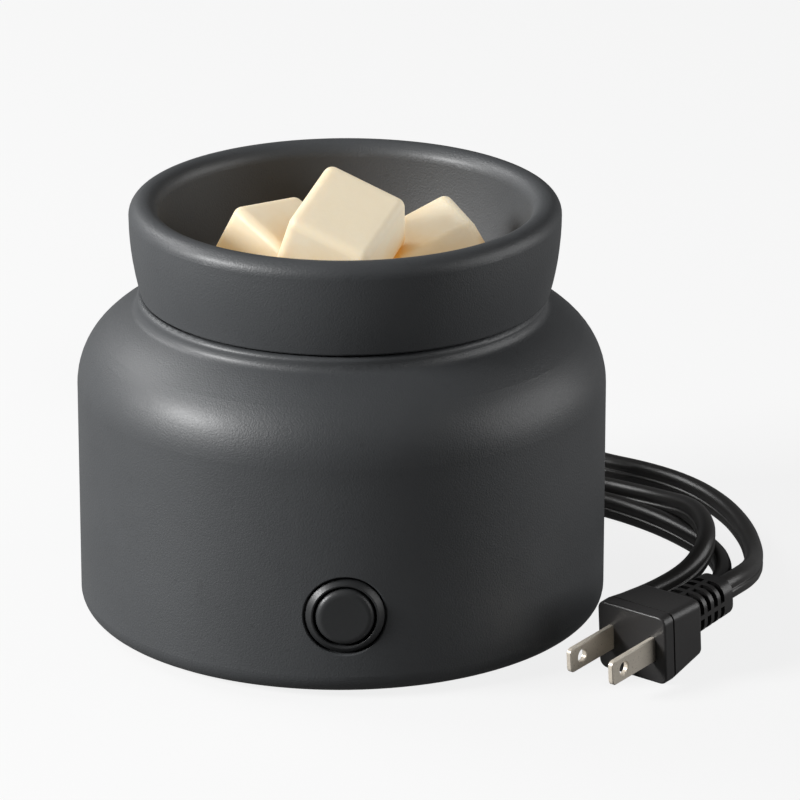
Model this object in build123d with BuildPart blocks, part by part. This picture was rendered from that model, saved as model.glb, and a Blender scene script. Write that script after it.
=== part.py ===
from build123d import *
import math
import os

# Ceramic base, millimetres
body_r = 66.0
wall = 4.5
foot_lift = 1.2
heel_r = 5.0
wall_top_z = 59.5
shoulder_inset = 5.7
shoulder_rise = 13.6
shoulder_reach = 15.0
neck_rise = 6.3
lip_h = 3.3
lip_wall = 2.6
neck_fillet = 2.4
lip_fillet = 1.2
ledge_drop = 14.7
ledge_w = 10.4
cavity_fillet = 6.0
floor_flange_w = 14.5

# Wax dish
seam_gap = 0.4
dish_clear = 1.5
dish_shift = 1.0
rim_flare = 2.6
collar_h = 23.8
rim_round = 3.7
collar_step = -0.2
collar_fillet = 0.8
bowl_floor_t = 4.0
bowl_wall = 4.4
bowl_fillet = 10.0
dish_foot_inset = 7.9
dish_foot_rise = 5.0
dish_heel_fillet = 4.0

# Heater stack, from the dish downwards
plate_t = 3.0
plate_inset = 7.4
plate_fillet = 0.8
gasket_t = 1.0
gasket_w = 4.5
cup_t = 2.0
cup_clear = 0.7
element_inset = 9.5
element_t = 2.0
pad_t = 3.0
backing_t = 1.2
backing_clear = 0.4
stud_r = 2.0
stud_clear = 0.3
washer_r = 4.5
washer_t = 1.0
nut_af = 7.0
nut_h = 3.2
stud_tail = 1.6
cup_depth = 13.0
cup_flange_w = 11.3

# Thermal fuse under the backing plate
fuse_r = 2.0
fuse_len = 11.0
fuse_inset = 16.5
fuse_clear = 0.15
clip_t = 0.8
clip_w = 7.0
clip_ear = 6.0
fuse_edge = 0.4
fuse_screw_r = 1.4
fuse_head_r = 2.5

# Bottom cover, pillars and feet
cover_t = 2.4
cover_clear = 0.4
cover_inset = 12.4
seat_z = 4.2
cover_boss_r = 6.0
cover_boss_h = 2.2
vent_inset = 14.0
vent_count = 8
vent_w = 3.0
vent_len = 11.0
pillar_af = 7.0
pillar_inset = 6.3
pillar_count = 3
pillar_start = 90.0
screw_r = 1.6
screw_clear = 0.2
screw_head_r = 3.1
screw_head_h = 1.8
screw_grip = 8.0
cross_len = 3.4
cross_w = 0.9
cross_depth = 1.0
head_sink = 2.2
foot_r = 6.0
foot_inset = 11.2
foot_count = 4
foot_start = 45.0
foot_pocket = 0.8
foot_clear = 0.3
foot_edge = 0.5

# Push switch, on the front wall
switch_x = 0.55
switch_z = 22.0
port_r = 10.0
port_depth = 3.0
port_edge = 0.4
barrel_r = 8.6
barrel_clear = 0.2
port_boss_r = 13.0
port_boss_t = 2.0
bezel_r = 9.55
bezel_proud = 3.4
bezel_slope = 1.3
bezel_edge = 0.7
button_r = 7.25
button_clear = 0.45
button_proud = 0.7
button_t = 6.4
button_edge = 1.8
button_travel = 2.5
barrel_len = 17.0
plunger_r = 3.0
plunger_clear = 0.35
plunger_len = 20.0
housing_w = 17.0
housing_h = 16.0
housing_len = 14.0
housing_edge = 1.0
switch_nut_r = 11.4
switch_nut_t = 3.4
switch_nut_side_count = 8
nut_clear = 0.15
tab_w = 4.8
tab_t = 0.8
tab_len = 7.0
tab_gap = 8.0
spring_r = 5.2
spring_wire = 0.8
spring_turns = 5
spring_rest = 0.1

# Cord outlet, on the back wall
gland_z = 19.0
gland_r = 6.0
gland_clear = 0.2
gland_flange_r = 8.4
gland_flange_t = 2.0
gland_len = 24.0
gland_end_r = 4.7
gland_spot = 0.8
gland_spot_clear = 0.5
gland_boss_t = 1.8
gland_barb_r = 7.0
gland_barb_t = 2.2
gland_barb_gap = 0.3
gland_ribs = 4
gland_rib_w = 2.0
gland_rib_depth = 0.9
gland_edge = 0.6

# Twin flat cord, standing on its edge: height, thickness and lobe spacing
cord_h = 6.2
cord_t = 4.2
bend_share = 0.45
cord_tie_gap = 0.3
coil_x = -20.0
coil_y = 172.0
coil_r = 38.0
coil_pitch = 4.8
coil_half_turns = 3
coil_layer = 6.7
coil_samples = 600
tie_w = 7.0
tie_t = 0.6
tie_slack = 1.0

# Plug with two flat blades
plug_w = 20.6
plug_h = 18.0
plug_len = 17.0
plug_rear_w = 18.0
plug_rear_h = 15.0
plug_plate_t = 3.4
plug_plate_edge = 0.6
plug_groove_w = 0.6
plug_groove_depth = 0.5
plug_corner = 2.2
plug_rear_round = 1.6
relief_len = 17.6
relief_w = 11.8
relief_h = 10.6
relief_end_w = 10.6
relief_end_h = 10.0
relief_ring = 3.0
relief_rows = 5
relief_slot_len = 1.6
relief_slot_depth = 1.3
relief_bar = 1.2
relief_round = 3.5
relief_stub = 9.0
blade_w = 6.35
blade_t = 1.52
blade_len = 17.0
blade_root = 6.0
blade_pitch = 12.7
blade_hole_r = 1.6
blade_hole_back = 4.6
blade_tip = 1.4
blade_edge = 0.25
blade_clear = 0.1
plug_azimuth = 230.0
plug_pitch = 4.0
relief_end_x = 92.8
relief_end_y = -25.2

# Terminal block and wiring
block_inset = 14.6
block_w = 20.0
block_d = 13.0
block_h = 10.0
block_edge = 1.2
block_pole = 10.0
block_screw_r = 2.2
block_well = 3.0
block_slot = 0.8
wire_r = 1.1
lead_stub_share = 0.22
lead_slack = 5.0
tail_r = 2.6

# Wax cubes: base and top edge, height and rounding
cube_base = 25.0
cube_h = 18.0
cube_taper = 5.0
cube_round = 2.4

# Values worked out from the above
neck_r = body_r - shoulder_reach
neck_z = wall_top_z + shoulder_rise + neck_rise
mouth_r = neck_r - lip_wall
lip_top_z = neck_z + lip_h
ledge_z = lip_top_z - ledge_drop
ledge_r = mouth_r - ledge_w
plate_r = mouth_r - plate_inset
element_r = plate_r - element_inset
plate_top_z = ledge_z + cup_t + gasket_t + plate_t
plate_z = plate_top_z - plate_t
cup_top_z = ledge_z + cup_t
element_z = plate_z - element_t
pad_z = element_z - pad_t
backing_z = pad_z - backing_t
washer_z = backing_z - washer_t
nut_z = washer_z - nut_h
stud_end_z = nut_z - stud_tail
cup_skirt_r = ledge_r - cup_clear
cup_hole_r = cup_skirt_r - cup_flange_w
pillar_pcd_r = cup_skirt_r - pillar_inset
vent_pcd_r = pillar_pcd_r - vent_inset
cup_floor_z = ledge_z - cup_depth
fuse_y = element_r - fuse_inset
fuse_z = backing_z - fuse_clear - fuse_r
clip_r = fuse_r + fuse_clear
clip_screw_y = fuse_y + clip_r + clip_t + (clip_ear - clip_t) / 2
cavity_r = body_r - wall
floor_flange_r = cavity_r - floor_flange_w
cavity_top_z = ledge_z - wall
block_x = (floor_flange_r - block_inset) / math.sqrt(2)
block_y = block_x
cover_z = seat_z - cover_t
cover_seat_r = body_r - cover_inset
cover_r = cover_seat_r - cover_clear
foot_pcd_r = cover_r - foot_inset
flange_top_z = seat_z + wall
pillar_z = seat_z + cover_boss_h
bowl_floor_z = plate_top_z + bowl_floor_t
spigot_r = mouth_r - dish_clear
bowl_r = spigot_r - bowl_wall
dish_foot_r = spigot_r - dish_foot_inset
seam_z = lip_top_z + seam_gap
collar_foot_r = neck_r + collar_step
rim_r = neck_r + rim_flare
rim_top_z = seam_z + collar_h
port_floor = body_r - port_depth
port_inner = cavity_r - port_boss_t
bezel_face = port_floor + bezel_proud
button_face = bezel_face + button_proud
button_back = button_face - button_t
housing_face = port_floor - barrel_len
housing_back = housing_face - housing_len
gland_seat = body_r - gland_spot
gland_inner = cavity_r - gland_boss_t
gland_tip = gland_seat + gland_flange_t + gland_len
gland_tail = gland_inner - gland_barb_gap - gland_barb_t
cord_z = cord_h / 2
coil_low_z = cord_z + cord_tie_gap + tie_t
coil_top_z = coil_low_z + coil_layer
lobe_shift = (cord_h - cord_t) / 2

plug_turn = math.radians(plug_azimuth)
plug_dip = math.radians(plug_pitch)
plug_side = Vector(-math.sin(plug_turn), math.cos(plug_turn), 0)
plug_axis = Vector(
    math.cos(plug_turn) * math.cos(plug_dip),
    math.sin(plug_turn) * math.cos(plug_dip),
    -math.sin(plug_dip),
)
relief_end_z = plug_h / 2 + (relief_len + plug_len) * math.sin(plug_dip)
relief_end = Vector(relief_end_x, relief_end_y, relief_end_z)

dish_plane = Plane(origin=(dish_shift, 0, 0), x_dir=(1, 0, 0), z_dir=(0, -1, 0))
front = Plane(origin=(switch_x, 0, switch_z), x_dir=(1, 0, 0), z_dir=(0, -1, 0))
back = Plane(origin=(0, 0, gland_z), x_dir=(-1, 0, 0), z_dir=(0, 1, 0))
os.makedirs("parts", exist_ok=True)


def save(builder, name):
    builder.part.label = name
    export_step(builder.part, f"parts/{name}.step")


def near(sketch, x, y):
    return sketch.vertices().sort_by_distance((x, y, 0))[0]


def disc(plane, radius, depth, mode=Mode.ADD):
    with BuildSketch(plane) as face:
        Circle(radius)
    extrude(face.sketch, amount=depth, mode=mode)


# Base shell: one turned wall with a mouth, a ledge for the heater and a seat for the cover
with BuildPart() as base_shell:
    with BuildSketch(Plane.XZ) as shell_section:
        with BuildLine():
            Line((cover_seat_r, foot_lift), (body_r - heel_r, foot_lift))
            heel = TangentArc((body_r - heel_r, foot_lift), (body_r, foot_lift + heel_r), tangent=(1, 0))
            side = Line(heel @ 1, (body_r, wall_top_z))
            turn = (body_r - shoulder_inset, wall_top_z + shoulder_rise)
            shoulder = TangentArc(side @ 1, turn, tangent=(0, 1))
            TangentArc(turn, (neck_r, neck_z), tangent=shoulder % 1)
            Polyline(
                (neck_r, neck_z),
                (neck_r, lip_top_z),
                (mouth_r, lip_top_z),
                (mouth_r, ledge_z),
                (ledge_r, ledge_z),
                (ledge_r, cavity_top_z),
                (cavity_r, cavity_top_z),
                (cavity_r, flange_top_z),
                (floor_flange_r, flange_top_z),
                (floor_flange_r, seat_z),
                (cover_seat_r, seat_z),
                (cover_seat_r, foot_lift),
            )
        make_face()
        fillet(near(shell_section, neck_r, neck_z), neck_fillet)
        fillet(near(shell_section, neck_r, lip_top_z), lip_fillet)
        fillet(near(shell_section, mouth_r, lip_top_z), lip_fillet)
        fillet(near(shell_section, cavity_r, cavity_top_z), cavity_fillet)
        fillet(near(shell_section, cavity_r, flange_top_z), cavity_fillet)
    revolve(axis=Axis.Z)
    disc(front.offset(port_inner), port_boss_r, port_boss_t + wall / 2)
    disc(back.offset(gland_inner), gland_flange_r, gland_boss_t + wall / 2)
    disc(front.offset(port_floor), port_r, wall, Mode.SUBTRACT)
    disc(front.offset(port_inner), barrel_r + barrel_clear, 2 * wall, Mode.SUBTRACT)
    disc(back.offset(gland_seat), gland_flange_r + gland_spot_clear, wall, Mode.SUBTRACT)
    disc(back.offset(gland_inner), gland_r + gland_clear, 2 * wall, Mode.SUBTRACT)
    fillet(base_shell.edges().sort_by_distance((switch_x, -body_r, switch_z + port_r))[0], port_edge)
save(base_shell, "base_shell")

# Wax dish: a turned bowl whose collar hangs over the mouth and whose foot stands on the hot plate
with BuildPart() as wax_dish:
    with BuildSketch(dish_plane) as dish_section:
        with BuildLine():
            rim_out = (rim_r, rim_top_z - rim_round)
            rim_peak = (rim_r - rim_round, rim_top_z)
            rim_in = (rim_r - 2 * rim_round, rim_top_z - rim_round)
            Polyline(
                (0, plate_top_z),
                (dish_foot_r, plate_top_z),
                (spigot_r, plate_top_z + dish_foot_rise),
                (spigot_r, seam_z),
                (collar_foot_r, seam_z),
            )
            TangentArc(rim_out, (collar_foot_r, seam_z), tangent=(0, -1))
            TangentArc(rim_out, rim_peak, tangent=(0, 1))
            TangentArc(rim_peak, rim_in, tangent=(-1, 0))
            TangentArc(rim_in, (bowl_r, bowl_floor_z), tangent=(0, -1))
            Polyline((bowl_r, bowl_floor_z), (0, bowl_floor_z), (0, plate_top_z))
        make_face()
        fillet(near(dish_section, collar_foot_r, seam_z), collar_fillet)
        fillet(near(dish_section, bowl_r, bowl_floor_z), bowl_fillet)
        fillet(near(dish_section, spigot_r, plate_top_z + dish_foot_rise), dish_heel_fillet)
    revolve(axis=Axis((dish_shift, 0, 0), (0, 0, 1)))
save(wax_dish, "wax_dish")

# Hot plate with its threaded stud
with BuildPart() as hot_plate:
    disc(Plane.XY.offset(plate_z), plate_r, plate_t)
    fillet(hot_plate.edges().group_by(Axis.Z)[-1], plate_fillet)
    disc(Plane.XY.offset(stud_end_z), stud_r, plate_z - stud_end_z)
save(hot_plate, "hot_plate")

# Silicone ring that beds the plate on its cup
with BuildPart() as plate_gasket:
    disc(Plane.XY.offset(cup_top_z), plate_r, gasket_t)
    disc(Plane.XY.offset(cup_top_z), plate_r - gasket_w, gasket_t, Mode.SUBTRACT)
save(plate_gasket, "plate_gasket")

# Flat heating element and the insulation under it
for layer_name, layer_z, layer_t in (
    ("heater_element", element_z, element_t),
    ("insulation_pad", pad_z, pad_t),
):
    with BuildPart() as layer:
        disc(Plane.XY.offset(layer_z), element_r, layer_t)
        disc(Plane.XY.offset(layer_z), stud_r + stud_clear, layer_t, Mode.SUBTRACT)
    save(layer, layer_name)

# Backing plate: a shallow steel tray that holds the stack against the hot plate
with BuildPart() as backing_plate:
    tray_r = element_r + backing_clear
    disc(Plane.XY.offset(backing_z), tray_r + backing_t, plate_z - backing_clear - backing_z)
    disc(Plane.XY.offset(pad_z), tray_r, plate_z - pad_z, Mode.SUBTRACT)
    disc(Plane.XY.offset(backing_z), stud_r + stud_clear, backing_t, Mode.SUBTRACT)
    disc(Plane(origin=(0, clip_screw_y, backing_z)), fuse_screw_r + screw_clear, backing_t, Mode.SUBTRACT)
save(backing_plate, "backing_plate")

# Washer and nut on the stud
with BuildPart() as stud_washer:
    disc(Plane.XY.offset(washer_z), washer_r, washer_t)
    disc(Plane.XY.offset(washer_z), stud_r + stud_clear, washer_t, Mode.SUBTRACT)
save(stud_washer, "stud_washer")

with BuildPart() as stud_nut:
    with BuildSketch(Plane.XY.offset(nut_z)):
        RegularPolygon(nut_af / 2, 6, major_radius=False)
        Circle(stud_r + nut_clear, mode=Mode.SUBTRACT)
    extrude(amount=nut_h)
save(stud_nut, "stud_nut")

# Heater cup: a drawn steel cup that stands on the ledge and carries the pillars
with BuildPart() as heater_cup:
    with BuildSketch(Plane.XZ):
        with BuildLine():
            Polyline(
                (cup_skirt_r - cup_t, cup_top_z),
                (mouth_r - cup_clear, cup_top_z),
                (mouth_r - cup_clear, ledge_z),
                (cup_skirt_r, ledge_z),
                (cup_skirt_r, cup_floor_z),
                (cup_hole_r, cup_floor_z),
                (cup_hole_r, cup_floor_z + cup_t),
                (cup_skirt_r - cup_t, cup_floor_z + cup_t),
                close=True,
            )
        make_face()
    revolve(axis=Axis.Z)
    with BuildSketch(Plane.XY.offset(cup_floor_z)):
        with PolarLocations(pillar_pcd_r, pillar_count, start_angle=pillar_start):
            Circle(screw_r + screw_clear)
    extrude(amount=cup_t, mode=Mode.SUBTRACT)
save(heater_cup, "heater_cup")

# Thermal fuse in its clip under the backing plate
with BuildPart() as thermal_fuse:
    with BuildSketch(Plane(origin=(-fuse_len / 2, fuse_y, fuse_z), x_dir=(0, 1, 0), z_dir=(1, 0, 0))):
        Circle(fuse_r)
    extrude(amount=fuse_len)
    chamfer(thermal_fuse.edges(), fuse_edge)
save(thermal_fuse, "thermal_fuse")

with BuildPart() as fuse_clip:
    with BuildSketch(Plane(origin=(-clip_w / 2, fuse_y, fuse_z), x_dir=(0, 1, 0), z_dir=(1, 0, 0))):
        Circle(clip_r + clip_t)
        with Locations((0, (backing_z - fuse_z) / 2)):
            Rectangle(2 * (clip_r + clip_t), backing_z - fuse_z)
        with Locations((clip_r + clip_ear / 2, backing_z - fuse_z - clip_t / 2)):
            Rectangle(clip_ear, clip_t)
        Circle(clip_r, mode=Mode.SUBTRACT)
        with Locations((0, (backing_z - fuse_z) / 2)):
            Rectangle(2 * clip_r, backing_z - fuse_z, mode=Mode.SUBTRACT)
        with Locations((0, backing_z - fuse_z + clip_r)):
            Rectangle(4 * clip_r, 2 * clip_r, mode=Mode.SUBTRACT)
    extrude(amount=clip_w)
    disc(Plane(origin=(0, clip_screw_y, backing_z)), fuse_screw_r + screw_clear, -clip_t, Mode.SUBTRACT)
save(fuse_clip, "fuse_clip")

with BuildPart() as fuse_screw:
    clip_face = Plane(origin=(0, clip_screw_y, backing_z - clip_t))
    disc(clip_face, fuse_screw_r, clip_t + backing_t)
    disc(clip_face, fuse_head_r, -screw_head_h)
save(fuse_screw, "fuse_screw")

# Bottom cover with screw bosses, vents and pockets for the feet
with BuildPart() as bottom_cover:
    disc(Plane.XY.offset(cover_z), cover_r, cover_t)
    fillet(bottom_cover.edges().group_by(Axis.Z)[0], foot_edge)
    with BuildSketch(Plane.XY.offset(seat_z)):
        with PolarLocations(pillar_pcd_r, pillar_count, start_angle=pillar_start):
            Circle(cover_boss_r)
    extrude(amount=cover_boss_h)
    with BuildSketch(Plane.XY.offset(cover_z)):
        with PolarLocations(pillar_pcd_r, pillar_count, start_angle=pillar_start):
            Circle(screw_head_r + screw_clear)
    extrude(amount=head_sink, mode=Mode.SUBTRACT)
    with BuildSketch(Plane.XY.offset(cover_z)):
        with PolarLocations(pillar_pcd_r, pillar_count, start_angle=pillar_start):
            Circle(screw_r + screw_clear)
    extrude(amount=cover_t + cover_boss_h, mode=Mode.SUBTRACT)
    with BuildSketch(Plane.XY.offset(cover_z)):
        with PolarLocations(vent_pcd_r, vent_count):
            SlotOverall(vent_len, vent_w)
    extrude(amount=cover_t, mode=Mode.SUBTRACT)
    with BuildSketch(Plane.XY.offset(cover_z)):
        with PolarLocations(foot_pcd_r, foot_count, start_angle=foot_start):
            Circle(foot_r + foot_clear)
    extrude(amount=foot_pocket, mode=Mode.SUBTRACT)
save(bottom_cover, "bottom_cover")

# Four silicone feet
for index in range(foot_count):
    angle = math.radians(foot_start + index * 360 / foot_count)
    spot = (foot_pcd_r * math.cos(angle), foot_pcd_r * math.sin(angle), 0)
    with BuildPart() as foot:
        disc(Plane(origin=spot), foot_r, cover_z + foot_pocket)
        fillet(foot.edges().group_by(Axis.Z)[0], foot_edge)
    save(foot, f"foot_{index + 1}")

# Three hexagonal pillars between the heater cup and the cover
for index in range(pillar_count):
    angle = math.radians(pillar_start + index * 360 / pillar_count)
    spot = (pillar_pcd_r * math.cos(angle), pillar_pcd_r * math.sin(angle))
    with BuildPart() as pillar:
        with BuildSketch(Plane(origin=(*spot, pillar_z))):
            RegularPolygon(pillar_af / 2, 6, major_radius=False)
        extrude(amount=cup_floor_z - pillar_z)
        bore_depth = screw_grip + screw_clear
        disc(Plane(origin=(*spot, pillar_z)), screw_r + screw_clear, bore_depth, Mode.SUBTRACT)
        disc(Plane(origin=(*spot, cup_floor_z)), screw_r + screw_clear, -bore_depth, Mode.SUBTRACT)
    save(pillar, f"pillar_{index + 1}")

# Screws at both ends of the pillars
with BuildPart() as pillar_screws:
    for depth, radius, start in (
        (screw_head_h, screw_head_r, cup_floor_z + cup_t),
        (-cup_t - screw_grip, screw_r, cup_floor_z + cup_t),
    ):
        with BuildSketch(Plane.XY.offset(start)):
            with PolarLocations(pillar_pcd_r, pillar_count, start_angle=pillar_start):
                Circle(radius)
        extrude(amount=depth)
save(pillar_screws, "pillar_screws")

with BuildPart() as cover_screws:
    for depth, radius in (
        (-screw_head_h, screw_head_r),
        (pillar_z + screw_grip - cover_z - head_sink, screw_r),
    ):
        with BuildSketch(Plane.XY.offset(cover_z + head_sink)):
            with PolarLocations(pillar_pcd_r, pillar_count, start_angle=pillar_start):
                Circle(radius)
        extrude(amount=depth)
    with BuildSketch(Plane.XY.offset(cover_z + head_sink - screw_head_h)):
        with PolarLocations(pillar_pcd_r, pillar_count, start_angle=pillar_start):
            Rectangle(cross_len, cross_w)
            Rectangle(cross_w, cross_len)
    extrude(amount=cross_depth, mode=Mode.SUBTRACT)
save(cover_screws, "cover_screws")

# Switch bezel: a flanged barrel through the front wall
with BuildPart() as switch_bezel:
    disc(front.offset(port_floor), bezel_r, bezel_proud)
    chamfer(switch_bezel.edges().group_by(Axis.Y)[0], bezel_slope)
    disc(front.offset(housing_face), barrel_r, barrel_len)
    disc(front.offset(housing_face), button_r + button_clear, barrel_len + bezel_proud, Mode.SUBTRACT)
    fillet(switch_bezel.edges().group_by(Axis.Y)[0].sort_by(SortBy.RADIUS)[0], bezel_edge / 2)
save(switch_bezel, "switch_bezel")

# Button cap and the plunger behind it
with BuildPart() as button_cap:
    disc(front.offset(button_back), button_r, button_t)
    fillet(button_cap.edges().group_by(Axis.Y)[0], button_edge)
save(button_cap, "button_cap")

with BuildPart() as switch_plunger:
    disc(front.offset(button_back), plunger_r, -plunger_len)
save(switch_plunger, "switch_plunger")

# Switch housing with the plunger's bore
with BuildPart() as switch_housing:
    with BuildSketch(front.offset(housing_back)):
        Rectangle(housing_w, housing_h)
    extrude(amount=housing_len)
    fillet(switch_housing.edges().filter_by(Axis.Y), housing_edge)
    plunger_reach = housing_face - button_back + plunger_len + button_travel + plunger_clear
    disc(front.offset(housing_face), plunger_r + plunger_clear, -plunger_reach, Mode.SUBTRACT)
save(switch_housing, "switch_housing")

# Ring nut on the barrel, against the inside of the wall
with BuildPart() as switch_nut:
    with BuildSketch(front.offset(port_inner)):
        RegularPolygon(switch_nut_r, switch_nut_side_count)
        Circle(barrel_r + nut_clear, mode=Mode.SUBTRACT)
    extrude(amount=-switch_nut_t)
save(switch_nut, "switch_nut")

# Two brass tabs at the back of the switch
with BuildPart() as switch_terminals:
    with BuildSketch(front.offset(housing_back)):
        with GridLocations(tab_gap, 0, 2, 1):
            Rectangle(tab_t, tab_w)
    extrude(amount=-tab_len)
save(switch_terminals, "switch_terminals")


# A curve that leaves one point and reaches another along given directions, as two arcs
def biarc(start, start_dir, end, end_dir):
    gap = end - start
    both = start_dir + end_dir
    spread = 2 * (1 - start_dir.dot(end_dir))
    reach = (math.sqrt(gap.dot(both) ** 2 + spread * gap.dot(gap)) - gap.dot(both)) / spread
    leave = start + start_dir * reach
    arrive = end - end_dir * reach
    middle = (leave + arrive) * 0.5
    TangentArc(start, middle, tangent=start_dir)
    TangentArc(middle, end, tangent=arrive - leave)


# Return spring between the button and the switch housing
spring_front = button_back - spring_wire / 2 - spring_rest
spring_back = housing_face + spring_wire / 2 + spring_rest
spring_step = (spring_front - spring_back) / (2 * spring_turns)
spring_slope = spring_step / (math.pi * spring_r)
with BuildPart() as switch_spring:
    with BuildLine() as spring_line:
        for half in range(2 * spring_turns):
            way = 1 if half % 2 == 0 else -1
            start = Vector(switch_x + way * spring_r, -spring_front + half * spring_step, switch_z)
            end = Vector(switch_x - way * spring_r, -spring_front + (half + 1) * spring_step, switch_z)
            leave_dir = Vector(0, spring_slope, way).normalized()
            reach_dir = Vector(0, spring_slope, -way).normalized()
            biarc(start, leave_dir, end, reach_dir)
    spring_path = spring_line.wires()[0]
    with BuildSketch(Plane(origin=spring_path @ 0, z_dir=spring_path % 0)):
        Circle(spring_wire / 2)
    sweep(path=spring_path)
save(switch_spring, "switch_spring")

# Cord gland: a ribbed strain relief with a flange outside the wall and a barb inside
with BuildPart() as cord_gland:
    disc(back.offset(gland_tail), gland_r, gland_seat - gland_tail)
    disc(back.offset(gland_tail), gland_barb_r, gland_barb_t)
    disc(back.offset(gland_seat), gland_flange_r, gland_flange_t)
    fillet(cord_gland.edges().group_by(Axis.Y)[-1], gland_edge)
    gland_root = gland_seat + gland_flange_t
    with BuildSketch(back.offset(gland_root)):
        Circle(gland_r)
    with BuildSketch(back.offset(gland_tip)):
        Circle(gland_end_r)
    loft()
    for rib in range(gland_ribs):
        share = (rib + 1) / (gland_ribs + 1)
        groove_r = gland_r + (gland_end_r - gland_r) * share - gland_rib_depth
        with BuildSketch(back.offset(gland_root + gland_len * share)):
            Circle(gland_flange_r)
            Circle(groove_r, mode=Mode.SUBTRACT)
        extrude(amount=gland_rib_w / 2, both=True, mode=Mode.SUBTRACT)
save(cord_gland, "cord_gland")


# Radii of the bends of a route: each as large as its two runs allow
def bend_radii(points):
    radii = []
    for before, here, after in zip(points, points[1:], points[2:]):
        arrive = here - before
        leave = after - here
        half_turn = math.radians(arrive.get_angle(leave)) / 2
        radii.append(bend_share * min(arrive.length, leave.length) / math.tan(half_turn))
    return radii


# Prints what a swept tube measures against its section times its length
def report_tube(name, solid, area, length, radii):
    ratio = solid.volume / (area * length)
    print(f"{name}: length {length:.1f}, tightest bend {min(radii):.1f}, volume ratio {ratio:.4f}")


# Round wire along a route, for the leads inside the base
def round_lead(name, route, radius):
    points = [Vector(point) for point in route]
    radii = bend_radii(points)
    with BuildPart() as lead:
        with BuildLine() as lead_line:
            FilletPolyline(*points, radius=radii)
        path = lead_line.wires()[0]
        with BuildSketch(Plane(origin=path @ 0, z_dir=path % 0)) as lead_section:
            Circle(radius)
        sweep(path=path)
    report_tube(name, lead.part, lead_section.sketch.area, path.length, radii)
    save(lead, name)


# Twin flat cord swept along a path, standing on its edge; gives the area of its section
def sweep_cord(path):
    with BuildSketch(Plane(origin=path @ 0, x_dir=(0, 0, 1), z_dir=path % 0)) as section:
        with GridLocations(2 * lobe_shift, 0, 2, 1):
            Circle(cord_t / 2)
    sweep(section.sketch, path=path)
    return section.sketch.area


def flat_cord(name, route):
    points = [Vector(point) for point in route]
    radii = bend_radii(points)
    with BuildPart() as cord:
        with BuildLine() as cord_line:
            FilletPolyline(*points, radius=radii)
        path = cord_line.wires()[0]
        area = sweep_cord(path)
    report_tube(name, cord.part, area, path.length, radii)
    save(cord, name)


# Terminal block on the cover, with its two clamping screws
with BuildPart() as terminal_block:
    with BuildSketch(Plane(origin=(block_x, block_y, seat_z))):
        RectangleRounded(block_w, block_d, block_edge)
    extrude(amount=block_h)
    with BuildSketch(Plane(origin=(block_x, block_y, seat_z + block_h))):
        with GridLocations(block_pole, 0, 2, 1):
            Circle(block_screw_r + screw_clear)
    extrude(amount=-block_well, mode=Mode.SUBTRACT)
save(terminal_block, "terminal_block")

with BuildPart() as terminal_screws:
    with BuildSketch(Plane(origin=(block_x, block_y, seat_z + block_h - block_well))):
        with GridLocations(block_pole, 0, 2, 1):
            Circle(block_screw_r)
            Rectangle(block_slot, 2 * block_screw_r, mode=Mode.SUBTRACT)
    extrude(amount=screw_head_h)
    with BuildSketch(Plane(origin=(block_x, block_y, seat_z + block_h - block_well))):
        with GridLocations(block_pole, 0, 2, 1):
            Circle(block_screw_r)
    extrude(amount=screw_head_h / 2)
save(terminal_screws, "terminal_screws")

# Leads inside the base, from the gland to the block, the switch, the fuse and the heater
block_z = seat_z + block_h / 2
block_back = Vector(block_x, block_y + block_d / 2, block_z)
live_pole = Vector(block_x - block_pole / 2, block_y - block_d / 2, block_z)
neutral_pole = Vector(block_x + block_pole / 2, block_y - block_d / 2, block_z)
left_tab = Vector(switch_x - tab_gap / 2, tab_len - housing_back, switch_z)
right_tab = Vector(switch_x + tab_gap / 2, tab_len - housing_back, switch_z)
fuse_left = Vector(-fuse_len / 2, fuse_y, fuse_z)
fuse_right = Vector(fuse_len / 2, fuse_y, fuse_z)
heater_left = Vector(-element_r / 2, -element_r / 4, backing_z)
heater_right = Vector(element_r / 2, -element_r / 4, backing_z)
to_back = Vector(0, 1, 0)
to_right = Vector(1, 0, 0)
upward = Vector(0, 0, 1)
for lead_name, lead_r, start, start_dir, end, end_dir, slack in (
    ("cord_tail", tail_r, Vector(0, gland_tail, gland_z), -to_back, block_back, to_back, upward),
    ("wire_live", wire_r, live_pole, -to_back, left_tab, to_back, upward),
    ("wire_switched", wire_r, right_tab, to_back, fuse_right, to_right, -to_back),
    ("wire_neutral", wire_r, neutral_pole, -to_back, heater_right, -upward, -to_back),
    ("wire_fuse", wire_r, fuse_left, -to_right, heater_left, -upward, -upward),
):
    stub = lead_stub_share * (end - start).length
    leave = start + start_dir * stub
    arrive = end + end_dir * stub
    round_lead(lead_name, (start, leave, (leave + arrive) * 0.5 + slack * lead_slack, arrive, end), lead_r)

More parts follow.
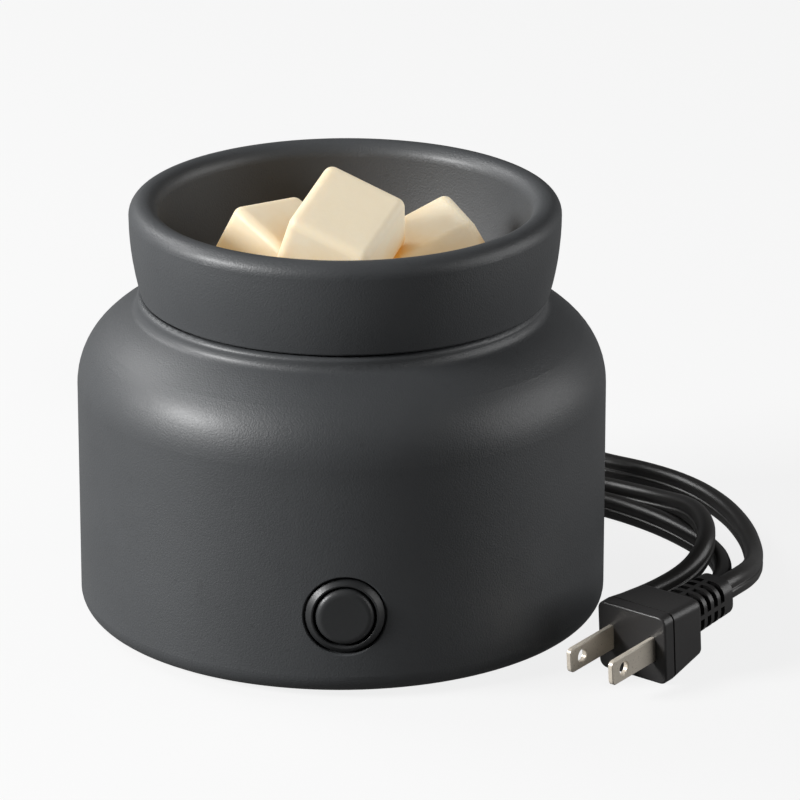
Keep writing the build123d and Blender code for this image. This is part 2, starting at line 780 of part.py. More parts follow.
# Coil of the spare length: the lower layer winds inwards, the upper one outwards
with BuildPart() as cord_coil:
    with BuildLine() as coil_line:
        spot = Vector(coil_x - coil_r, coil_y, coil_low_z)
        tail = Vector(0, cord_h, 0)
        Line(spot - tail, spot)
        way = 1
        radius = coil_r
        for half in range(coil_half_turns):
            target = spot + Vector(2 * radius * way, 0, 0)
            TangentArc(spot, target, tangent=(0, way, 0))
            spot = target
            way = -way
            radius = radius - coil_pitch / 2
        halfway = spot + Vector(radius * way, -radius, coil_layer / 2)
        target = spot + Vector(2 * radius * way, 0, coil_layer)
        slope = Vector(way, 0, 2 * coil_layer / (math.pi * radius)).normalized()
        biarc(spot, Vector(0, way, 0), halfway, slope)
        biarc(halfway, slope, target, Vector(0, -way, 0))
        spot = target
        way = -way
        for half in range(coil_half_turns):
            radius = radius + coil_pitch / 2
            target = spot + Vector(2 * radius * way, 0, 0)
            TangentArc(spot, target, tangent=(0, way, 0))
            spot = target
            way = -way
        Line(spot, spot - tail)
    coil_path = coil_line.wires()[0]
    coil_area = sweep_cord(coil_path)
save(cord_coil, "cord_coil")

# Least gap between neighbouring turns, from points along the coil
coil_length = coil_path.length
coil_points = [coil_path.position_at(step / coil_samples) for step in range(coil_samples + 1)]
apart = int(coil_samples * coil_r / coil_length)
coil_gap = min(
    math.hypot(a.X - b.X, a.Y - b.Y, max(0, abs(a.Z - b.Z) - 2 * lobe_shift)) - cord_t
    for index, a in enumerate(coil_points)
    for b in coil_points[index + apart:]
)
coil_ratio = cord_coil.part.volume / (coil_area * coil_length)
print(f"cord_coil: length {coil_length:.1f}, least gap {coil_gap:.2f}, volume ratio {coil_ratio:.4f}")

# Free cord: from the gland to the coil, then out past the base, back and round to the plug
lead_in = coil_path @ 1
flat_cord("cord_lead", (
    (0, gland_tip, gland_z), (0, 99, gland_z), (2, 112, 17), (8, 125, 14.4), (16, 137, 12.2),
    (21.6, 149, 11), (lead_in.X, 158, coil_top_z), (lead_in.X, lead_in.Y, coil_top_z),
))
coil_out = coil_path @ 0
flat_cord("cord_run", (
    (coil_out.X, coil_out.Y, coil_low_z), (coil_out.X, 154, coil_low_z), (-56, 138, cord_z),
    (-48, 121, cord_z), (-34, 106, cord_z), (-15, 95, cord_z), (6, 86, cord_z), (28, 79.5, cord_z),
    (50, 70.5, cord_z), (68, 57, cord_z), (80.5, 43.5, cord_z), (90, 30.5, cord_z), (97.5, 20, cord_z),
    (98.8, 6, cord_z), (92.5, -10, cord_z), (77.9, -26.6, cord_z), (66.7, -16.6, cord_z),
    (77.5, -4.5, cord_z), (87.5, 4, 5.8), (94, 16, 9.8), (91.8, 35, 9.8), (83.5, 53, 5.6), (70, 67.5, cord_z),
    (51, 79, cord_z), (31, 85.5, cord_z), (11, 93, cord_z), (-4, 111, cord_z), (5, 132, cord_z),
    (27, 135, cord_z), (44, 119, cord_z), (56, 103, cord_z), (69, 92.5, cord_z), (83, 86, cord_z),
    (95, 76, cord_z), (103.5, 58, cord_z), (107.3, 39, cord_z), (107.8, 20, cord_z), (104.4, 1, 6.0),
    relief_end - plug_axis * relief_stub, relief_end,
))

# Tie round the coil, at its far side
with BuildPart() as cord_tie:
    tie_low = coil_low_z - cord_z - cord_tie_gap
    tie_high = coil_top_z + cord_z + cord_tie_gap
    tie_near = coil_y + coil_r - coil_pitch - cord_t / 2 - tie_slack
    tie_far = coil_y + coil_r + cord_t / 2 + cord_tie_gap
    tie_plane = Plane(
        origin=(coil_x + coil_pitch / 2, (tie_near + tie_far) / 2, (tie_low + tie_high) / 2),
        x_dir=(0, 1, 0),
        z_dir=(1, 0, 0),
    )
    with BuildSketch(tie_plane):
        RectangleRounded(tie_far - tie_near + 2 * tie_t, tie_high - tie_low + 2 * tie_t, cord_t / 2)
        RectangleRounded(tie_far - tie_near, tie_high - tie_low, cord_t / 2 - tie_t, mode=Mode.SUBTRACT)
    extrude(amount=tie_w / 2, both=True)
save(cord_tie, "cord_tie")

# Plug: strain relief with rows of windows, body with a front plate, and blades along one axis
plug_plane = Plane(origin=relief_end, x_dir=plug_side, z_dir=plug_axis)
plug_face = relief_len + plug_len
plate_back = plug_face - plug_plate_t
with BuildPart() as plug_relief:
    with BuildSketch(plug_plane):
        RectangleRounded(relief_end_w, relief_end_h, relief_round)
    with BuildSketch(plug_plane.offset(relief_len)):
        RectangleRounded(relief_w, relief_h, relief_round)
    loft()
    for row in range(relief_rows):
        row_spot = relief_ring + (relief_len - relief_ring) * (row + 0.5) / relief_rows
        row_w = relief_end_w + (relief_w - relief_end_w) * row_spot / relief_len
        row_h = relief_end_h + (relief_h - relief_end_h) * row_spot / relief_len
        with BuildSketch(plug_plane.offset(row_spot)):
            Rectangle(2 * row_w, 2 * row_h)
            RectangleRounded(
                row_w - 2 * relief_slot_depth,
                row_h - 2 * relief_slot_depth,
                relief_round - relief_slot_depth,
                mode=Mode.SUBTRACT,
            )
            Rectangle(relief_bar, 2 * row_h, mode=Mode.SUBTRACT)
            Rectangle(2 * row_w, relief_bar, mode=Mode.SUBTRACT)
        extrude(amount=relief_slot_len / 2, both=True, mode=Mode.SUBTRACT)
save(plug_relief, "plug_relief")

with BuildPart() as plug_body:
    with BuildSketch(plug_plane.offset(relief_len)):
        RectangleRounded(plug_rear_w, plug_rear_h, plug_corner)
    with BuildSketch(plug_plane.offset(plate_back)):
        RectangleRounded(plug_w, plug_h, plug_corner)
    loft()
    fillet(plug_body.faces().sort_by_distance(plug_plane.origin)[0].edges(), plug_rear_round)
    with BuildSketch(plug_plane.offset(plate_back)):
        RectangleRounded(plug_w, plug_h, plug_corner)
    extrude(amount=plug_plate_t)
    fillet(plug_body.faces().sort_by_distance(plug_plane.origin)[-1].edges(), plug_plate_edge)
    with BuildSketch(plug_plane.offset(plate_back)):
        Rectangle(2 * plug_w, 2 * plug_h)
        RectangleRounded(
            plug_w - 2 * plug_groove_depth,
            plug_h - 2 * plug_groove_depth,
            plug_corner - plug_groove_depth,
            mode=Mode.SUBTRACT,
        )
    extrude(amount=-plug_groove_w, mode=Mode.SUBTRACT)
    with BuildSketch(plug_plane.offset(plug_face)):
        with GridLocations(blade_pitch, 0, 2, 1):
            Rectangle(blade_t + 2 * blade_clear, blade_w + 2 * blade_clear)
    extrude(amount=-blade_root, mode=Mode.SUBTRACT)
save(plug_body, "plug_body")

blade_plane = Plane(origin=plug_plane.origin, x_dir=plug_plane.z_dir, z_dir=plug_plane.x_dir)
for blade_name, side in (("plug_blade_left", -1), ("plug_blade_right", 1)):
    with BuildPart() as blade:
        with BuildSketch(blade_plane.offset(side * blade_pitch / 2)) as blade_outline:
            with Locations((plug_face + (blade_len - blade_root) / 2, 0)):
                Rectangle(blade_root + blade_len, blade_w)
            fillet(blade_outline.vertices().group_by(Axis.X)[-1], blade_tip)
            with Locations((plug_face + blade_len - blade_hole_back, 0)):
                Circle(blade_hole_r, mode=Mode.SUBTRACT)
        extrude(amount=blade_t / 2, both=True)
        broad_sides = blade.faces().sort_by(SortBy.AREA)[-2:]
        chamfer(broad_sides.edges(), blade_edge)
    save(blade, blade_name)

# Three wax cubes, two on the floor of the dish and one leaning on them
bowl_floor = Vector(0, 0, bowl_floor_z)
for cube_name, cube_spot, cube_edge, cube_up in (
    ("wax_cube_left", (-17.5, 6.5, 4.8), (0.721, 0.688, -0.082), (0.307, -0.211, 0.928)),
    ("wax_cube_right", (26.5, 3.2, 5.0), (0.879, 0.245, 0.409), (-0.377, -0.165, 0.911)),
    ("wax_cube_middle", (-0.3, -9.5, 17.5), (0.876, -0.331, -0.351), (0.107, -0.576, 0.81)),
):
    with BuildPart() as wax_cube:
        with BuildSketch(Plane(origin=bowl_floor + cube_spot, x_dir=cube_edge, z_dir=cube_up)):
            Rectangle(cube_base, cube_base)
        extrude(amount=cube_h, taper=cube_taper)
        fillet(wax_cube.edges(), cube_round)
    save(wax_cube, cube_name)
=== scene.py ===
# %% [markdown]
# # A wax melt warmer
# The warmer is a charcoal ceramic jar with a lift-off dish of scented wax cubes on top.
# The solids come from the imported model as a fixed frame. This file gives every surface its finish,
# lays the mains cord, and builds the pieces whose looks need more than a plain solid.

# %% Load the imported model
import math

import bmesh
import bpy
from mathutils import Matrix, Vector


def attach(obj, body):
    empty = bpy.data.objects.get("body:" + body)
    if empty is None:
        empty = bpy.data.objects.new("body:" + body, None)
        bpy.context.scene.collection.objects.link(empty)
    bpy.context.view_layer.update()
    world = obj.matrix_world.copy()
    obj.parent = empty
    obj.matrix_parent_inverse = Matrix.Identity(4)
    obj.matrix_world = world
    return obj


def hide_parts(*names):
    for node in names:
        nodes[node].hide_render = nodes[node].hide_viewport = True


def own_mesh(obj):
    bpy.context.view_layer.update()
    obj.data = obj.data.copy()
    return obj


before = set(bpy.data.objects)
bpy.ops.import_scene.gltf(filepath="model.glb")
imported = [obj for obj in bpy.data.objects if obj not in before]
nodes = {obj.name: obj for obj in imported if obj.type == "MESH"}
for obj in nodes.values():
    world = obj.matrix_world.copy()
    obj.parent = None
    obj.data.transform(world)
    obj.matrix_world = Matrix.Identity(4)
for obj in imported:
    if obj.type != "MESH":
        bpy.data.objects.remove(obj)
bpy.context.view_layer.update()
MM = 0.001

# %% [markdown]
# ## Camera
# The photograph was taken from far away with a long lens, a little above the rim, so that the jar's sides
# look almost parallel. A camera has a place, a direction and a focal length. The direction is tilted a touch
# to the right, because the jar stands left of the middle and the plug lies on its right.

# %% Camera
FRAME_PX = 800
FOCAL_PX = 5595.4
ELEVATION = math.radians(19.66)
DISTANCE = 1.4
AIM_HEIGHT = 0.055
AIM_PX = (341.9, 395.5)

look = Vector((0, math.cos(ELEVATION), -math.sin(ELEVATION)))
camera_right = Vector((1, 0, 0))
camera_down = Vector((0, -math.sin(ELEVATION), -math.cos(ELEVATION)))
eye = Vector((0, 0, AIM_HEIGHT)) - look * DISTANCE
middle = (
    look * FOCAL_PX
    + camera_right * (FRAME_PX / 2 - AIM_PX[0])
    + camera_down * (FRAME_PX / 2 - AIM_PX[1])
)
camera_data = bpy.data.cameras.new("portrait_camera")
camera_data.sensor_width = 36
camera_data.lens = FOCAL_PX / FRAME_PX * camera_data.sensor_width
camera_data.clip_end = 20
camera = bpy.data.objects.new("portrait_camera", camera_data)
camera.location = eye
camera.rotation_euler = middle.to_track_quat("-Z", "Y").to_euler()
bpy.context.scene.collection.objects.link(camera)
bpy.context.scene.camera = camera
bpy.context.scene.view_settings.view_transform = "Standard"
print("camera:", [round(v, 3) for v in eye], "lens", round(camera_data.lens, 1), "mm")

# %% [markdown]
# ## Helpers for finishes
# A finish is a tree of shader nodes. Placing them one by one is slow to read, so a small class wraps a socket
# and lets Python's signs add Math nodes, and one method adds any other node with its settings and sockets.

# %% A socket that can be used in sums
class Signal:
    """A node's output. Each sign between two of them, or with a number, adds a Math node."""

    def __init__(self, tree, socket):
        self.tree = tree
        self.socket = socket

    def math(self, operation, first, second):
        node = self.tree.nodes.new("ShaderNodeMath")
        node.operation = operation
        for slot, value in zip(node.inputs, (first, second)):
            join(self.tree, value, slot)
        return Signal(self.tree, node.outputs[0])

    def __add__(self, other):
        return self.math("ADD", self, other)

    def __radd__(self, other):
        return self.math("ADD", other, self)

    def __mul__(self, other):
        return self.math("MULTIPLY", self, other)

    def __rmul__(self, other):
        return self.math("MULTIPLY", other, self)


def join(tree, value, slot):
    """Links a signal to a socket, or writes a plain value on it."""
    if isinstance(value, Signal):
        tree.links.new(value.socket, slot)
    else:
        slot.default_value = value


# %% A finish built from expressions
class Finish:
    """A material with a Principled shader."""

    def __init__(self, name, **values):
        self.material = bpy.data.materials.new(name)
        self.material.use_nodes = True
        self.tree = self.material.node_tree
        self.shader = self.tree.nodes["Principled BSDF"]
        self.set(**values)

    def set(self, **values):
        for name, value in values.items():
            join(self.tree, value, self.shader.inputs[name.replace("_", " ")])

    def node(self, kind, out=0, settings=None, slots=None, **sockets):
        """Any node: its settings first, then its sockets by number or by name."""
        node = self.tree.nodes.new("ShaderNode" + kind)
        for name, value in (settings or {}).items():
            setattr(node, name, value)
        for index, value in (slots or {}).items():
            join(self.tree, value, node.inputs[index])
        for name, value in sockets.items():
            join(self.tree, value, node.inputs[name.replace("_", " ")])
        return Signal(self.tree, node.outputs[out])

    def place(self):
        """Where a point lies on the piece, in metres."""
        return self.node("TexCoord", out="Object")

    def noise(self, size, detail=3.0, rough=0.55):
        """Cloudy values from 0 to 1, whose lumps are about that size in metres."""
        return self.node("TexNoise", Vector=self.place(), Scale=1 / size, Detail=detail, Roughness=rough)

    def span(self, value, low, high, to_low=0.0, to_high=1.0):
        """Stretches values between low and high to another range, and stops at its ends."""
        return self.node("MapRange", Value=value, From_Min=low, From_Max=high, To_Min=to_low, To_Max=to_high)

    def blend(self, factor, first, second):
        """The first colour where the factor is 0, the second where it is 1."""
        return self.node("Mix", out=2, settings={"data_type": "RGBA"}, slots={0: factor, 6: first, 7: second})

    def bump(self, height, depth):
        """Tilts the surface as if the height field stood that deep, in metres."""
        self.set(Normal=self.node("Bump", Height=height, Distance=depth, Strength=1.0))


def rgb(red, green, blue):
    """A colour picked from a screen, 0 to 255, as the linear values that a shader wants."""
    parts = [v / 255 for v in (red, green, blue)]
    return tuple(((v + 0.055) / 1.055) ** 2.4 if v > 0.04 else v / 12.92 for v in parts) + (1.0,)


def dress(finish, *names):
    """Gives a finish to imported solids."""
    for name in names:
        slots = nodes[name].data.materials
        slots.clear()
        slots.append(finish.material)
    print(finish.material.name, "on", len(names), "solids")


# %% [markdown]
# ## Stage
# The object stands on pale paper that curves up behind it. A grid with one edge pulled up and its corner
# bevelled makes that sweep. The Light Path node shows the paper nearly white to the camera, so that the lamps
# can stay at a plain level, and the rest of its light keeps a faint shadow. Reflections get a tenth of that
# white, because the dark glaze in the photograph mirrors no bright floor.

# %% Paper sweep
SWEEP_REACH = 3.0
SWEEP_BEND = 1.2
WHITE_SHARE = 0.84
MIRRORED_SHARE = 0.1


def paper_sweep():
    mesh = bmesh.new()
    bmesh.ops.create_grid(mesh, x_segments=1, y_segments=1, size=SWEEP_REACH)
    far_edge = [edge for edge in mesh.edges if all(vert.co.y > 0 for vert in edge.verts)]
    risen = bmesh.ops.extrude_edge_only(mesh, edges=far_edge)["geom"]
    top = [part for part in risen if isinstance(part, bmesh.types.BMVert)]
    bmesh.ops.translate(mesh, vec=(0, 0, SWEEP_REACH), verts=top)
    bmesh.ops.bevel(
        mesh, geom=far_edge, offset=SWEEP_BEND, affect="EDGES", segments=16, profile=0.5, material=-1,
    )
    bmesh.ops.recalc_face_normals(mesh, faces=mesh.faces)
    data = bpy.data.meshes.new("paper_sweep")
    mesh.to_mesh(data)
    mesh.free()
    sweep = bpy.data.objects.new("paper_sweep", data)
    bpy.context.scene.collection.objects.link(sweep)
    return sweep


def pale_paper():
    finish = Finish("pale_paper", Roughness=0.9, Specular_IOR_Level=0.1)
    seen = finish.node("LightPath", out="Is Camera Ray")
    seen = seen + finish.node("LightPath", out="Is Transmission Ray")
    seen = seen + MIRRORED_SHARE * finish.node("LightPath", out="Is Glossy Ray")
    for_bounce, for_camera = (0.06, 0.06, 0.06, 1), (0.75, 0.75, 0.75, 1)
    finish.set(Base_Color=finish.blend(seen, for_bounce, for_camera))
    white = finish.node("Emission", Color=(1, 1, 1, 1), Strength=1.0)
    paper = Signal(finish.tree, finish.shader.outputs[0])
    mixed = finish.node("MixShader", slots={0: seen * WHITE_SHARE, 1: paper, 2: white})
    join(finish.tree, mixed, finish.tree.nodes["Material Output"].inputs["Surface"])
    return finish


sweep = paper_sweep()
sweep.data.materials.append(pale_paper().material)
print("sweep faces:", len(sweep.data.polygons))

# %% [markdown]
# ## Lamps
# The glints on the jar's round shoulder tell where the lamps stood: a surface mirrors a lamp where it is
# turned halfway between lamp and camera. There are three: the main one at the front left, one behind on the
# left that lights the shoulder's edge, and a broad weak one on the right. The world adds a little fill.

# %% Lamps
LAMP_TARGET = Vector((0, 0, 0.07))
LAMP_DISTANCE = 1.3
WORLD_FILL = 0.03


def soft_lamp(name, bearing, height, size, watts):
    """A soft box that far round from the camera's side and that high, in degrees, facing the dish."""
    turn, rise = math.radians(bearing), math.radians(height)
    way = Vector((math.sin(turn) * math.cos(rise), -math.cos(turn) * math.cos(rise), math.sin(rise)))
    data = bpy.data.lights.new(name, "AREA")
    data.shape = "RECTANGLE"
    data.size, data.size_y = size
    data.energy = watts
    lamp = bpy.data.objects.new(name, data)
    lamp.location = LAMP_TARGET + way * LAMP_DISTANCE
    lamp.rotation_euler = (-way).to_track_quat("-Z", "Y").to_euler()
    bpy.context.scene.collection.objects.link(lamp)


soft_lamp("front_left_box", -71, 24, (0.5, 0.3), 22)
soft_lamp("back_left_box", -122, 36, (0.6, 0.5), 6)
soft_lamp("right_box", 90, 14, (1.3, 0.9), 9)
world = bpy.data.worlds.new("studio_air")
world.use_nodes = True
air = world.node_tree.nodes["Background"].inputs
air["Color"].default_value = (1, 1, 1, 1)
air["Strength"].default_value = WORLD_FILL
bpy.context.scene.world = world
print("lamps:", len(bpy.data.lights))

# %% [markdown]
# ## Mains cord
# The cord is a flat twin lead: two round cores side by side with a shallow groove between them, standing on
# its edge. It leaves the jar at the back, winds into a tied coil out of sight, comes round the right side,
# folds back under the plug and returns to it. One NURBS spline follows the route's points, and the section
# of the lead is swept along it. A curve's box counts the radius of its points, so that radius is kept small.

# %% Cord route
CORD_HEIGHT = 6.8 * MM
CORD_WIDTH = 4.7 * MM
POINT_RADIUS = 0.003
ON_FLOOR = 3.4
ON_TOP = 10.3
COIL_LOW = 4.0
COIL_TOP = 10.7
COIL_Y = 172.0
COIL_STEPS = 7
PLUG_TURN = math.radians(230)
PLUG_DIP = math.radians(4)
PLUG_LENGTH = 34.6
PLUG_NOSE_HEIGHT = 9
CORD_STUB = 8
plug_way = Vector((math.cos(PLUG_TURN), math.sin(PLUG_TURN), 0))
plug_axis = plug_way * math.cos(PLUG_DIP) - Vector((0, 0, math.sin(PLUG_DIP)))
relief_end = Vector((92.8, -25.2, PLUG_NOSE_HEIGHT + PLUG_LENGTH * math.sin(PLUG_DIP)))


def coil_points():
    """Corners of a polygon round each half turn, from the top layer's outside in and then out again below."""
    # Each half turn: its centre in x, its radius, and its height at both ends
    halves = (
        (-15.2, 38.0, COIL_TOP, COIL_TOP), (-17.6, 35.6, COIL_TOP, COIL_TOP), (-15.2, 33.2, COIL_TOP, COIL_TOP),
        (-17.6, 30.8, COIL_TOP, COIL_LOW),
        (-20.0, 33.2, COIL_LOW, COIL_LOW), (-17.6, 35.6, COIL_LOW, COIL_LOW), (-20.0, 38.0, COIL_LOW, COIL_LOW),
    )
    points = []
    for index, (centre, radius, start_z, end_z) in enumerate(halves):
        for step in range(COIL_STEPS):
            share = (step + 0.5) / COIL_STEPS
            angle = math.pi * (index + share)
            reach = radius / math.cos(math.pi / 2 / COIL_STEPS)
            height = start_z + (end_z - start_z) * share
            points.append((centre + reach * math.cos(angle), COIL_Y + reach * math.sin(angle), height))
    return points


lead_points = [
    (0, 91.2, 19), (0, 99, 19), (2, 112, 17), (8, 125, 14.4), (16, 137, 12.2), (21.6, 149, 11),
    (22.8, 158, COIL_TOP),
]
run_points = [
    (-58, 154, COIL_LOW), (-56, 138, ON_FLOOR), (-48, 121, ON_FLOOR), (-34, 106, ON_FLOOR), (-15, 95, ON_FLOOR),
    (6, 86, ON_FLOOR), (28, 79.5, ON_FLOOR), (50, 71.5, ON_FLOOR), (69, 59.5, ON_FLOOR), (82, 46.5, ON_FLOOR),
    (91, 33, ON_FLOOR), (96.8, 20.5, ON_FLOOR), (97.2, 5, ON_FLOOR), (91.5, -10, ON_FLOOR),
    (77.9, -26.6, ON_FLOOR), (66.7, -16.6, ON_FLOOR), (79, -5.2, ON_FLOOR), (89, 3.6, 6.2), (94, 16, ON_TOP),
    (92, 35, ON_TOP), (84, 53, 6), (70.5, 69.5, ON_FLOOR), (51, 80, ON_FLOOR), (31, 86, ON_FLOOR),
    (11, 93, ON_FLOOR), (-4, 111, ON_FLOOR), (5, 132, ON_FLOOR), (27, 135, ON_FLOOR), (44, 119, ON_FLOOR),
    (56, 101, ON_FLOOR), (69, 89, ON_FLOOR), (82, 81, ON_FLOOR), (93, 70, ON_FLOOR), (101, 54, ON_FLOOR),
    (105, 37, ON_FLOOR), (105.8, 21.5, 3.8), (104.8, 8, 6), (102.4, -6, 9.2),
]
plug_points = [relief_end - plug_axis * CORD_STUB, relief_end]
route = [Vector(point) * MM for point in lead_points + coil_points() + run_points + plug_points]
print("cord points:", len(route))

# %% Cord
CORE_STEPS = 12


def twin_section():
    """The lead's section: two round cores that run into each other, large because the points shrink it."""
    shift = (CORD_HEIGHT - CORD_WIDTH) / 2 / POINT_RADIUS
    radius = CORD_WIDTH / 2 / POINT_RADIUS
    meet = math.acos(shift / radius)
    points = []
    for side in (1, -1):
        for step in range(CORE_STEPS + 1):
            angle = (math.pi - meet) * (2 * step / CORE_STEPS - 1)
            points.append((side * radius * math.sin(angle), side * (shift + radius * math.cos(angle))))
    data = bpy.data.curves.new("cord_section", "CURVE")
    data.dimensions = "2D"
    spline = data.splines.new("POLY")
    spline.points.add(len(points) - 1)
    for point, (x, y) in zip(spline.points, points):
        point.co = (x, y, 0, 1)
    spline.use_cyclic_u = True
    section = bpy.data.objects.new("cord_section", data)
    section.hide_render = True
    bpy.context.scene.collection.objects.link(section)
    return section


def lay_cord():
    data = bpy.data.curves.new("mains_cord", "CURVE")
    data.dimensions = "3D"
    data.twist_mode = "Z_UP"
    data.bevel_mode = "OBJECT"
    data.bevel_object = twin_section()
    data.use_fill_caps = True
    spline = data.splines.new("NURBS")
    spline.points.add(len(route) - 1)
    for point, spot in zip(spline.points, route):
        point.co = (*spot, 1)
        point.radius = POINT_RADIUS
    spline.order_u = 3
    spline.use_endpoint_u = True
    spline.resolution_u = 6
    spline.use_smooth = True
    cord = bpy.data.objects.new("mains_cord", data)
    bpy.context.scene.collection.objects.link(cord)
    return cord


cord = lay_cord()
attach(cord, "base")
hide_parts("cord_lead", "cord_coil", "cord_run")

# %% [markdown]
# ## Ceramic
# The jar and the dish are matte charcoal ceramic. Its glaze has a sandy grain that breaks each highlight into
# small sparks, and its grey drifts a little from place to place. Fine noise as bump makes the sand and also
# shifts the roughness, and slow noise shifts the colour.

# %% Ceramic
def charcoal_ceramic():
    finish = Finish("charcoal_ceramic", Specular_IOR_Level=0.6, Coat_Weight=0.14, Coat_Roughness=0.3)
    cloud = finish.noise(0.03, detail=4)
    sand = finish.noise(0.00045, detail=2, rough=0.6)
    dark_spot = finish.span(finish.noise(0.0022, detail=2), 0.66, 0.74, 0.0, 0.35)
    grey = finish.blend(finish.span(cloud, 0.3, 0.7), rgb(70, 72, 74), rgb(76, 78, 80))
    finish.set(
        Base_Color=finish.blend(dark_spot, grey, rgb(58, 59, 61)),
        Roughness=finish.span(sand, 0.3, 0.7, 0.46, 0.56),
    )
    finish.bump(sand, 0.00009)
    return finish


dress(charcoal_ceramic(), "base_shell", "wax_dish")

# %% [markdown]
# ## Wax
# The cubes are cast paraffin: cream, with light that goes in and comes out again a few millimetres on, so that
# thin edges glow and deep corners turn amber. Subsurface scattering does the first. The amber of the deep
# corners is painted shade: an Ambient Occlusion node finds the corners between the cubes and paints them amber.
# The light that has crossed a whole cube and lifts its shaded faces is painted as a weak glow of the wax itself,
# whose colour goes from cream at the top to amber at the dish's floor.

# %% Wax
def cream_wax():
    # The emission is a painted glow: it stands in for light that crosses the cubes and lifts their shaded faces
    finish = Finish(
        "cream_wax", Subsurface_Weight=0.8, Subsurface_Radius=(1.0, 0.8, 0.5), Subsurface_Scale=0.006,
        Specular_IOR_Level=0.35, Emission_Strength=0.4,
    )
    cloud = finish.noise(0.012, detail=3)
    skin = finish.noise(0.0016, detail=3)
    height = finish.node("SeparateXYZ", out="Z", Vector=finish.place())
    # Painted glow that is lighter at the top of the cubes and amber towards the dish's floor
    painted_glow_height = finish.span(height + 0.008 * cloud, 0.094, 0.108)
    # Painted shade: the Ambient Occlusion node marks the corners between the cubes, which are painted amber
    painted_corner_shade = finish.span(finish.node("AmbientOcclusion", out="AO", Distance=0.014), 0.25, 0.85)
    cream = finish.blend(finish.span(cloud, 0.3, 0.7), rgb(194, 178, 149), rgb(200, 186, 159))
    painted_glow = finish.blend(painted_glow_height, rgb(240, 190, 110), rgb(255, 245, 222))
    # Painted amber shade in the corners, both in the base colour and in the painted glow
    finish.set(
        Base_Color=finish.blend(painted_corner_shade, rgb(188, 146, 76), cream),
        Emission_Color=finish.blend(painted_corner_shade, rgb(196, 142, 62), painted_glow),
        Roughness=finish.span(skin, 0.3, 0.7, 0.4, 0.52),
    )
    finish.bump(skin, 0.00004)
    return finish


dress(cream_wax(), "wax_cube_left", "wax_cube_middle", "wax_cube_right")

# %% [markdown]
# ## Plastics and rubber
# The switch, the plug and the cover are moulded, and moulds are spark-eroded, which leaves a skin of tiny
# dimples. One function makes such a finish in any colour, from fine noise for the dimples and slow noise for
# the colour.

# %% Plastics and rubber
def moulded(name, colour, roughness):
    finish = Finish(name)
    skin = finish.noise(0.0004, detail=2)
    cloud = finish.noise(0.02, detail=2)
    lighter = [min(255, part + 6) for part in colour]
    finish.set(
        Base_Color=finish.blend(finish.span(cloud, 0.3, 0.7), rgb(*colour), rgb(*lighter)),
        Roughness=finish.span(skin, 0.3, 0.7, roughness - 0.05, roughness + 0.05),
    )
    finish.bump(skin, 0.00002)
    return finish


dress(
    moulded("switch_plastic", (48, 49, 50), 0.42), "switch_bezel", "switch_housing", "switch_nut", "switch_plunger",
)
dress(moulded("button_plastic", (54, 55, 56), 0.42), "button_cap")
dress(moulded("cover_plastic", (40, 40, 41), 0.55), "bottom_cover")
dress(moulded("silicone", (36, 36, 36), 0.7), "plate_gasket", "foot_1", "foot_2", "foot_3", "foot_4")
dress(moulded("plug_plastic", (56, 55, 55), 0.36), "plug_body", "plug_relief", "cord_gland")
dress(moulded("tie_plastic", (30, 30, 30), 0.5), "cord_tie")
dress(moulded("white_nylon", (226, 222, 212), 0.5), "terminal_block")
dress(moulded("red_insulation", (150, 30, 28), 0.45), "wire_live", "wire_switched", "wire_fuse")
dress(moulded("white_insulation", (222, 218, 208), 0.45), "wire_neutral")
cord_finish = moulded("cord_rubber", (52, 51, 50), 0.34)
cord.data.materials.append(cord_finish.material)
dress(cord_finish, "cord_tail")

# %% [markdown]
# ## Metals
# Inside there are pressed steel, cast aluminium, brass and the plug's nickel blades. Bare metal takes its look
# from fine scratches, which noise gives in the roughness and as bump. The blades are dull from use, so they
# get a part of plain paint-like light.

# %% Metals
def metal(name, colour, roughness, metallic=1.0):
    finish = Finish(name, Metallic=metallic)
    scratches = finish.noise(0.0005, detail=3)
    cloud = finish.noise(0.008, detail=3)
    duller = [part * 0.92 for part in colour]
    finish.set(
        Base_Color=finish.blend(finish.span(cloud, 0.3, 0.7), rgb(*colour), rgb(*duller)),
        Roughness=finish.span(scratches, 0.3, 0.7, roughness - 0.04, roughness + 0.04),
    )
    finish.bump(scratches, 0.000005)
    return finish


dress(metal("nickel_blade", (243, 233, 217), 0.3, 0.2), "plug_blade_left", "plug_blade_right")
steel = metal("pressed_steel", (176, 177, 180), 0.38)
dress(
    steel,
    "backing_plate", "heater_cup", "stud_washer", "stud_nut", "fuse_clip", "fuse_screw", "pillar_screws",
    "cover_screws", "pillar_1", "pillar_2", "pillar_3", "thermal_fuse",
)
dress(metal("brass", (208, 172, 98), 0.32), "switch_terminals", "terminal_screws")

# %% [markdown]
# ## Switch spring
# The button comes back by a coil of steel wire between it and the switch's housing. The wire's round section,
# spun round the switch's axis while it moves along, makes that coil. A coil gets shorter when the button is
# pressed, so it is built here as its own piece instead of a fixed solid; this script builds it at its rest length.

# %% Switch spring
SWITCH_X = 0.55 * MM
SWITCH_Z = 22 * MM
SPRING_RADIUS = 5.2 * MM
WIRE = 0.8 * MM
WIRE_SIDES = 10
SPRING_TURNS = 5
STEPS_A_TURN = 24
SPRING_FRONT = -60.2 * MM
SPRING_BACK = -46.5 * MM


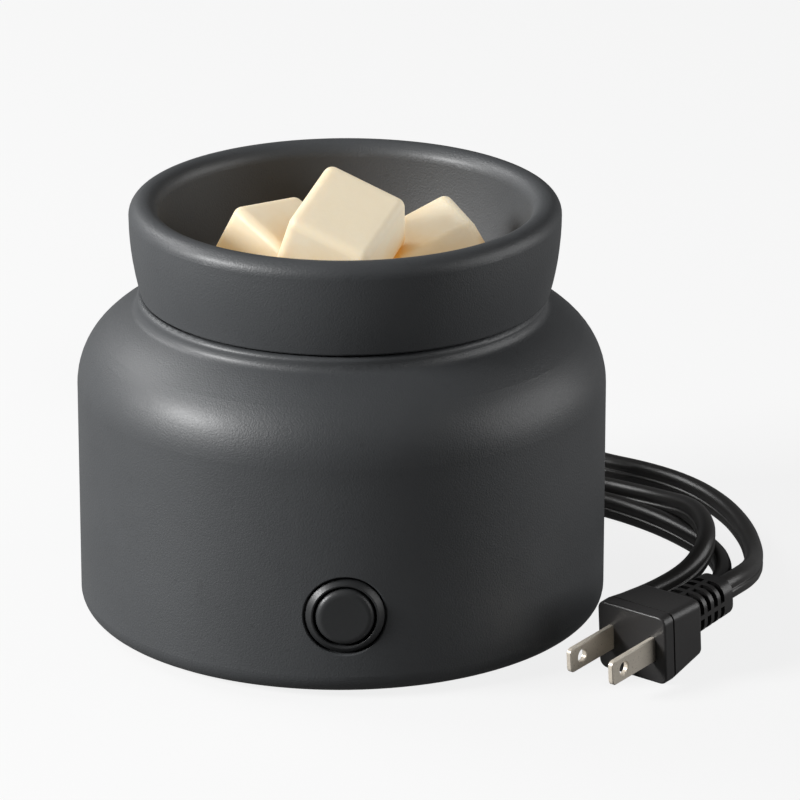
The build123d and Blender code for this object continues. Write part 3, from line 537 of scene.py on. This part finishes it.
def coil_spring():
    mesh = bmesh.new()
    start = Matrix.Translation((SWITCH_X + SPRING_RADIUS, SPRING_FRONT, SWITCH_Z))
    bmesh.ops.create_circle(mesh, segments=WIRE_SIDES, radius=WIRE / 2, matrix=start)
    steps = STEPS_A_TURN * SPRING_TURNS
    bmesh.ops.spin(
        mesh, geom=mesh.verts[:] + mesh.edges[:], cent=(SWITCH_X, 0, SWITCH_Z), axis=(0, -1, 0),
        dvec=(0, (SPRING_BACK - SPRING_FRONT) / steps, 0), angle=math.tau * SPRING_TURNS, steps=steps,
    )
    bmesh.ops.holes_fill(mesh, edges=[edge for edge in mesh.edges if edge.is_boundary])
    bmesh.ops.recalc_face_normals(mesh, faces=mesh.faces)
    for face in mesh.faces:
        face.smooth = len(face.verts) == 4
    data = bpy.data.meshes.new("return_spring")
    mesh.to_mesh(data)
    mesh.free()
    spring = bpy.data.objects.new("return_spring", data)
    bpy.context.scene.collection.objects.link(spring)
    return spring


spring = coil_spring()
spring.data.materials.append(steel.material)
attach(spring, "base")
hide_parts("switch_spring")
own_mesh(spring)

# %% [markdown]
# ## Hot plate
# The plate under the dish is turned on a lathe, which leaves fine rings round its middle. A Wave texture in
# its rings setting runs round the Z axis, and gives both the bump and the streaks of gloss.

# %% Hot plate
def turned_plate():
    finish = Finish("turned_plate", Metallic=1.0)
    rings = finish.node(
        "TexWave", settings={"wave_type": "RINGS", "rings_direction": "Z"},
        out="Fac", Vector=finish.place(), Scale=420.0, Distortion=0.3, Detail=2.0,
    )
    cloud = finish.noise(0.01, detail=3)
    finish.set(
        Base_Color=finish.blend(finish.span(cloud, 0.3, 0.7), rgb(188, 188, 189), rgb(172, 172, 174)),
        Roughness=finish.span(rings, 0.0, 1.0, 0.3, 0.42),
    )
    finish.bump(rings, 0.00001)
    return finish


dress(turned_plate(), "hot_plate")

# %% [markdown]
# ## Insulation
# The pad under the heater is felted fibre and the heater itself is a baked mineral board. Noise with many
# fine octaves looks like threads that lie every way.

# %% Insulation
def fibre_felt(name, light, dark):
    finish = Finish(name, Roughness=0.9)
    threads = finish.noise(0.0012, detail=5, rough=0.7)
    finish.set(Base_Color=finish.blend(finish.span(threads, 0.3, 0.7), rgb(*dark), rgb(*light)))
    finish.bump(threads, 0.0002)
    return finish


dress(fibre_felt("insulation_felt", (232, 229, 220), (205, 200, 188)), "insulation_pad")
dress(fibre_felt("element_board", (188, 168, 136), (160, 138, 104)), "heater_element")
